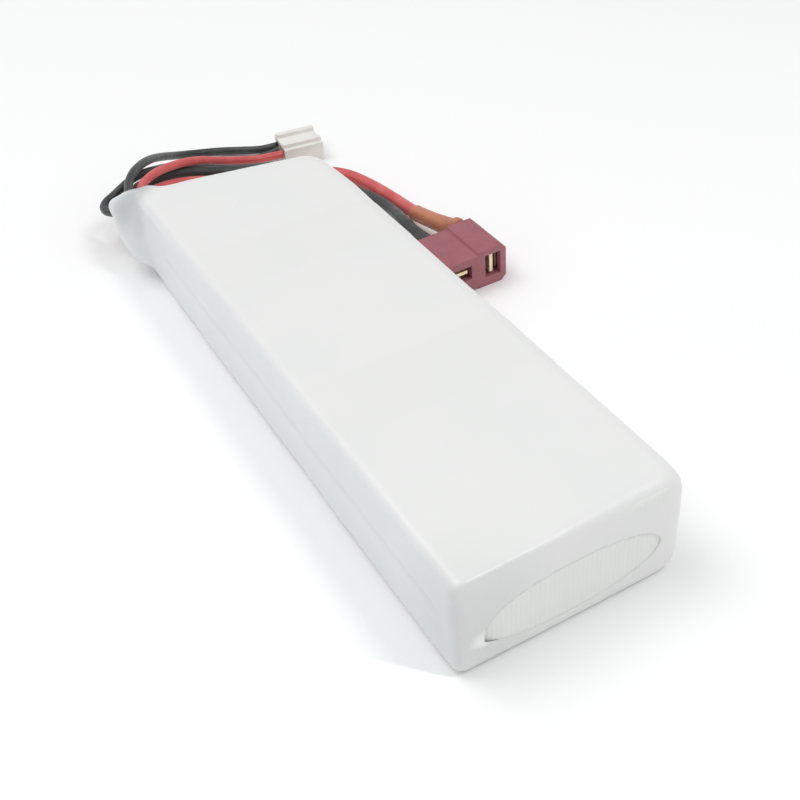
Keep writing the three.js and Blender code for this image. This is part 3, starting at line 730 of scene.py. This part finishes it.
def finish_openings(edit):
    """Opens the spout, and turns the film in at its mouth and round the oval."""
    open_mouth(edit)
    add_lip(edit, lambda co: co.y < 0, Vector((0, 1, 0)), [(0.02, 0.12), (0, 0.22)])
    into_spout = Vector((0.1, -0.99, 0)).normalized()
    add_lip(edit, lambda co: co.y > 0, into_spout, [(0.18, -0.1), (0.17, 0.1), (0, 2.6)])
    face_outwards(edit)


def make_film(look):
    """The film over the cells and its spout: one skin, open at the oval and at the mouth."""
    body, body_faces = loft(sleeve_rings())
    stations = spout_stations()
    spout, spout_faces = loft([oval_ring(s[:3], s[3], s[4], s[5]) for s in stations])
    offset = len(body)
    faces = body_faces + [tuple(i + offset for i in f) for f in spout_faces]
    film = mesh_object("film", list(body) + list(spout), faces)
    outward(film)
    remesh = film.modifiers.new("join", "REMESH")
    remesh.mode = "VOXEL"
    remesh.voxel_size = FILM_VOXEL * MM
    apply_modifiers(film)

    points = read_points(film.data)
    edges = gather(film.data.edges, "vertices", 2, int)
    for _ in range(4):  # in and out again, so that the steps go and the size stays
        points = smoothed(points, edges, 0.5, 1)
        points = smoothed(points, edges, -0.52, 1)
    to_sleeve = np.maximum.reduce([
        np.abs(points[:, 0]) - HALF_WIDTH, np.abs(points[:, 2] - MIDDLE_Z) - MIDDLE_Z,
        points[:, 1] - far_face_y(points[:, 0]),
    ])
    crease = hump(to_sleeve, CREASE_REACH) * hump(near_spout(points, stations), CREASE_REACH)
    crease *= step(60, 64, points[:, 1]) * (0.2 + 0.8 * step(-22, -18, points[:, 0]))
    points = smoothed(points, edges, 0.9 * crease[:, None], 24)
    sleeve_tree = BVHTree.FromPolygons([Vector(v) for v in body], body_faces)
    for index in np.flatnonzero(points[:, 1] < STRAIGHT_TO_Y):
        points[index] = sleeve_tree.find_nearest(Vector(points[index]))[0]
    write_points(film.data, points)

    normals = gather(film.data.vertex_normals, "vector", 3)
    relief = film_relief(points, normals) + spout_relief(points)
    points = smoothed(points + normals * relief[:, None], edges, 0.5, 3)
    points[:, 2] = np.maximum(points[:, 2], 0.0)
    write_points(film.data, points)

    open_window(film)
    edit_mesh(film.data, finish_openings)
    curl_rim(film.data)
    film.data.shade_smooth()
    paint(film, look)
    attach(film, "pack")
    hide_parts("shrink_wrap")


def curl_rim(mesh):
    """Lifts the oval's rim off the pad: a little all round, and as a small curl at its left."""
    points = read_points(mesh)
    x, y, z = points.T
    across, up = window_reach(x, z)
    from_rim = (np.hypot(across, up) - 1) * 6  # in millimetres over and under the oval
    left = hump(np.arctan2(up, -across), 0.45)
    at_near_face = y < NEAR_Y + 1.5
    points[:, 1] -= (0.08 + 0.95 * left) * hump(from_rim, 0.85) * at_near_face
    write_points(mesh, points)


def make_near_pad(look):
    """The ribbed pad behind the oval: a flat cushion, a little fuller in the middle."""
    low, high = (Vector(c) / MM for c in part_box("near_end_pad"))
    corner = {name: 3.0 for name in CORNER}
    outline, _ = rounded_section(low.x, high.x, low.z, high.z, corner)
    centre = np.array([(low.x + high.x) / 2, (low.z + high.z) / 2])
    front = NEAR_Y + 0.08
    rings = []
    for share, y in (  # share of the full outline, and where it stands
        (0.02, front), (0.25, front), (0.45, front), (0.62, front), (0.76, front + 0.03),
        (0.87, front + 0.12), (0.93, front + 0.3), (0.97, front + 0.6), (1, front + 1.0),
        (1, high.y),
    ):
        place = centre + (outline - centre) * share
        rings.append(np.column_stack([place[:, 0], np.full(len(place), y), place[:, 1]]))
    pad = outward(mesh_object("near_pad", *loft(rings)))
    paint(pad, look)
    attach(pad, "pack")
    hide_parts("near_end_pad")


# ---- The plug ------------------------------------------------------------------------------------

def prism(name, outline, near_y, far_y):
    """A shape drawn as (x, z) points, from near_y to far_y."""
    rings = [[(x, y, z) for x, z in outline] for y in (near_y, far_y)]
    return outward(mesh_object(name, *loft(rings), smooth=False))


def slot_cutter(slot, near_y, far_y, right=0.0, down=0.0):
    """A block that fills a slot, made wider to the right or downwards."""
    x0, x1 = slot["x"] - slot["half_x"], slot["x"] + slot["half_x"] + right
    z0, z1 = slot["z"] - slot["half_z"] - down, slot["z"] + slot["half_z"]
    return prism("cutter", [(x0, z0), (x1, z0), (x1, z1), (x0, z1)], near_y, far_y)


def make_plug(look):
    """The T-shaped housing: a tall block round the upright slot, a lower one round the flat."""
    p = PLUG
    height, step_x = p["height"], p["step_x"]
    outline = [
        (step_x + 0.3, 0), (p["right"] - 1.2, 0), (p["right"], 1.2),
        (p["right"], height - 0.9), (p["right"] - 0.9, height), (step_x + 0.5, height),
        (step_x + 0.15, height - 0.55), (step_x - 0.2, height - 0.7),
        (p["left"] + 0.7, height - PLUG_TAPER), (p["left"], height - PLUG_TAPER - 0.7),
        (p["left"], PLUG_TAPER + 0.7), (p["left"] + 0.7, PLUG_TAPER), (step_x - 0.35, 0.42),
        (step_x, 0.2),
    ]
    plug = prism("plug", outline, p["front"], p["rear"])
    slot_end = p["front"] + SLOT_DEPTH
    pocket_y = (p["front"] + SPRING_POCKET_START, slot_end - SPRING_POCKET_STEP)
    subtract(plug, slot_cutter(UPRIGHT_SLOT, p["front"] - 1, slot_end))
    subtract(plug, slot_cutter(UPRIGHT_SLOT, *pocket_y, right=SPRING_POCKET))
    subtract(plug, slot_cutter(FLAT_SLOT, p["front"] - 1, slot_end))
    subtract(plug, slot_cutter(FLAT_SLOT, *pocket_y, down=SPRING_POCKET))
    upright_tail = {**UPRIGHT_SLOT, "half_x": TAIL_THIN, "half_z": TAIL_WIDE}
    flat_tail = {**FLAT_SLOT, "half_x": TAIL_WIDE, "half_z": TAIL_THIN}
    for tail in (upright_tail, flat_tail):
        subtract(plug, slot_cutter(tail, slot_end - 0.5, p["rear"] + 1))
    soften(plug, 0.28)
    paint(plug, look)
    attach(plug, "pack")
    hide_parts("plug_housing")
    return plug


def tube_spine(slot, route, cover):
    """The line a tube follows: straight back from the plug, then along its lead for cover."""
    straight = (TUBE_START_Y, TUBE_START_Y + TUBE_STRAIGHT)
    spine = [np.array((slot["x"], y, slot["z"])) for y in straight]
    gone = 0.0
    line = catmull_rom(route, ROUTE_STEPS)[::-1]
    for here, ahead in zip(line, line[1:]):
        spine.append(here)
        gone += float(np.linalg.norm(ahead - here))
        if gone > cover:
            break
    return np.array(spine)


def make_shrink_tube(name, slot, upright, route, cover, look):
    """A shrunk tube, tall where it covers the contact's tail and flared where it meets the plug."""
    spine = tube_spine(slot, route, cover)
    along = np.concatenate([[0], np.cumsum(np.linalg.norm(np.diff(spine, axis=0), axis=1))])
    length = TUBE_TO_LEAD + cover
    tall_end = 4.2 if upright else 3.1
    stations = [  # distance from the plug, half width and half height
        (0, 2.15, tall_end), (0.8, 2.35, tall_end + 0.25), (1.8, 2.2, tall_end), (3, 2.0, 3.1),
        (4.2, 1.92, 2.75), (5.4, 1.98, 2.35), (6.6, 2.0, 2.12), (8, 1.9, 1.95),
        (length - 1.4, 1.83, 1.85), (length - 0.35, 1.93, 1.95), (length, 1.9, 1.9),
        (length, 1.66, 1.66), (length - 1.5, 1.6, 1.6),
    ]
    rows = []
    for place, wide, tall in stations:
        half_x, half_z = (wide, tall) if upright else (tall, wide)
        centre, ahead = (
            np.array([np.interp(d, along, spine[:, axis]) for axis in range(3)])
            for d in (place, place + 0.5)
        )
        turn = math.atan2(-(ahead - centre)[0], (ahead - centre)[1])
        ring, sides = [], 40
        for i in range(sides):
            a = 2 * math.pi * i / sides
            wobble = 0.05 * math.sin(3 * a + 0.9 * place) + 0.03 * math.sin(7 * a + 2 * place)
            across = (half_x + wobble) * math.cos(a)
            lean = 0.15 * math.sin(2 * a) if place > length - 1 else 0
            ring.append((
                centre[0] + across * math.cos(turn), centre[1] + across * math.sin(turn) + lean,
                centre[2] + (half_z + wobble) * math.sin(a),
            ))
        rows.append(ring)
    tube = outward(mesh_object(name, *loft(rows)))
    smooth = tube.modifiers.new("smooth", "SUBSURF")
    smooth.levels = smooth.render_levels = 1
    apply_modifiers(tube)
    paint(tube, look)
    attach(tube, "pack")
    return tube


# ---- The balance connector -----------------------------------------------------------------------

def make_connector(look):
    """A small housing with two ribs on top, and a cavity and a window under it for each wire."""
    c = CONNECTOR
    half, top = c["width"] / 2, c["height"]
    deck = top - 0.9
    rib_out, rib_in = half - 1.2, half - 2.6
    outline = [
        (-half, 0), (half, 0), (half, deck), (rib_out, deck), (rib_out, top), (rib_in, top),
        (rib_in, deck), (-rib_in, deck), (-rib_in, top), (-rib_out, top), (-rib_out, deck),
        (-half, deck),
    ]
    housing = prism("balance_connector", outline, 0, c["length"])
    for side in (-1, 0, 1):
        x = side * c["pitch"]
        cavity = {"x": x, "z": CAVITY["middle"], "half_x": CAVITY["across"], "half_z": CAVITY["up"]}
        subtract(housing, slot_cutter(cavity, -1, c["length"] + 1))
        window = {"x": x, "z": 0.9, "half_x": 0.6, "half_z": 1.2}
        subtract(housing, slot_cutter(window, 3.2, 5.6))
    soften(housing, 0.16, segments=2)
    rear = Vector((*CONNECTOR_REAR, 0)) * MM
    housing.data.transform(Matrix.Translation(rear) @ Matrix.Rotation(CONNECTOR_TURN, 4, "Z"))
    paint(housing, look)
    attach(housing, "pack")
    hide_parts("balance_housing")
    return housing


# ---- Leads ---------------------------------------------------------------------------------------

def make_lead(name, node, route, diameter, slot_name):
    """A lead along its route, and its length."""
    line = catmull_rom(route, ROUTE_STEPS)
    curve = bpy.data.curves.new(name, "CURVE")
    curve.dimensions = "3D"
    spline = curve.splines.new("POLY")
    spline.points.add(len(line) - 1)
    for point, place in zip(spline.points, line):
        point.co = (*(place * MM), 1)
    spline.use_smooth = True
    curve.bevel_depth = diameter / 2 * MM
    curve.bevel_resolution = 6
    curve.use_fill_caps = True
    obj = bpy.data.objects.new(name, curve)
    bpy.context.scene.collection.objects.link(obj)
    paint(obj, looks[slot_name])
    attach(obj, "pack")
    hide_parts(node)
    return obj, line_length(line)


# ---- Stage ---------------------------------------------------------------------------------------

def make_stage():
    """A pale table just under the pack, and an even white surround."""
    reach, gap = 3000, 0.05
    corners = [(-reach, -reach, 0), (reach, -reach, 0), (reach, reach, 0), (-reach, reach, 0)]
    floor = mesh_object("floor", corners, [(0, 1, 2, 3)], smooth=False)
    floor.location.z = -gap * MM
    paint(floor, floor_look())

    world = bpy.data.worlds.new("world")
    bpy.context.scene.world = world
    world.use_nodes = True
    background = world.node_tree.nodes["Background"]
    background.inputs["Color"].default_value = (0.985, 0.99, 1.0, 1)
    background.inputs["Strength"].default_value = 0.60


def add_area_light(name, place, target, size, power):
    """A rectangular light turned to its target. Places and sizes are in metres."""
    data = bpy.data.lights.new(name, "AREA")
    data.shape = "RECTANGLE"
    data.size, data.size_y = size
    data.energy = power
    light = bpy.data.objects.new(name, data)
    light.location = place
    light.rotation_euler = (Vector(target) - Vector(place)).to_track_quat("-Z", "Y").to_euler()
    bpy.context.scene.collection.objects.link(light)


# ---- Scene ---------------------------------------------------------------------------------------

place_camera()

looks = {
    "film": film_look(),
    "pad": pad_look(),
    "tape": tape_look("tape", (0.86, 0.78, 0.52), 0.4),
    "bond_tape": tape_look("bond_tape", (0.85, 0.85, 0.82), 0.75),
    "pouch_foil": foil_look(),
    "electrodes": electrode_look(),
    "nickel": metal_look("nickel", (0.66, 0.63, 0.56), 0.32, (1, 0.1, 1)),
    "tab_aluminium": metal_look("tab_aluminium", (0.80, 0.81, 0.82), 0.35, (1, 0.1, 1)),
    "paper": tape_look("paper", (0.32, 0.46, 0.34), 0.9),
    "board": board_look(),
    "solder": metal_look("solder", (0.62, 0.63, 0.65), 0.3, (1, 1, 1), 0.03),
    "silicone_black": silicone_look(
        "silicone_black", (0.025, 0.027, 0.027), (0.055, 0.060, 0.060)
    ),
    "silicone_red": silicone_look("silicone_red", (0.60, 0.08, 0.08), (0.70, 0.15, 0.13)),
    "plug_nylon": moulded_look("plug_nylon", (0.35, 0.115, 0.138), (0.29, 0.09, 0.115)),
    "gold_plate": metal_look("gold_plate", (0.96, 0.82, 0.56), 0.36, (1, 0.15, 1), 0.0015, 0.6),
    "spring_metal": metal_look("spring_metal", (0.74, 0.62, 0.44), 0.36, (1, 0.15, 1), 0.0015),
    "shrink_orange": moulded_look(
        "shrink_orange", (0.54, 0.21, 0.115), (0.46, 0.16, 0.09), 0.4, 0.005
    ),
    "shrink_black": moulded_look(
        "shrink_black", (0.03, 0.032, 0.033), (0.05, 0.05, 0.05), 0.4, 0.005
    ),
    "connector_white": moulded_look(
        "connector_white", (0.82, 0.81, 0.77), (0.76, 0.75, 0.70), 0.42
    ),
    "terminal_tin": metal_look("terminal_tin", (0.68, 0.69, 0.70), 0.3, (1, 0.2, 1)),
}
for part in frame["record"]["subparts"]:
    paint(frame["nodes"][part["node"]], looks[part["material_slot"]])

main_black, main_black_length = make_lead(
    "lead_black", "main_lead_black", MAIN_BLACK_ROUTE, MAIN_LEAD, "silicone_black"
)
main_red, main_red_length = make_lead(
    "lead_red", "main_lead_red", MAIN_RED_ROUTE, MAIN_LEAD, "silicone_red"
)
balance_black, balance_black_length = make_lead(
    "wire_black", "balance_wire_black", BALANCE_BLACK_ROUTE, BALANCE_WIRE, "silicone_black"
)
balance_middle, balance_middle_length = make_lead(
    "wire_middle", "balance_wire_middle", BALANCE_MIDDLE_ROUTE, BALANCE_WIRE, "silicone_black"
)
balance_red, balance_red_length = make_lead(
    "wire_red", "balance_wire_red", BALANCE_RED_ROUTE, BALANCE_WIRE, "silicone_red"
)

make_film(looks["film"])
make_near_pad(looks["pad"])
plug = make_plug(looks["plug_nylon"])
orange_tube = make_shrink_tube(
    "tube_orange", UPRIGHT_SLOT, True, MAIN_RED_ROUTE, SHRINK_COVER["red"], looks["shrink_orange"]
)
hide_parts("heat_shrink_positive")
black_tube = make_shrink_tube(
    "tube_black", FLAT_SLOT, False, MAIN_BLACK_ROUTE, SHRINK_COVER["black"], looks["shrink_black"]
)
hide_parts("heat_shrink_negative")
connector = make_connector(looks["connector_white"])

make_stage()
add_area_light("softbox", (-0.25, 0.25, 0.75), target=(0, 0, 0), size=(0.5, 0.5), power=2.4)
add_area_light(
    "glint", (0.226, -0.33, 0.62), target=(-0.015, -0.062, 0.02), size=(0.03, 0.2), power=1.15
)
bpy.context.scene.view_settings.view_transform = "Standard"
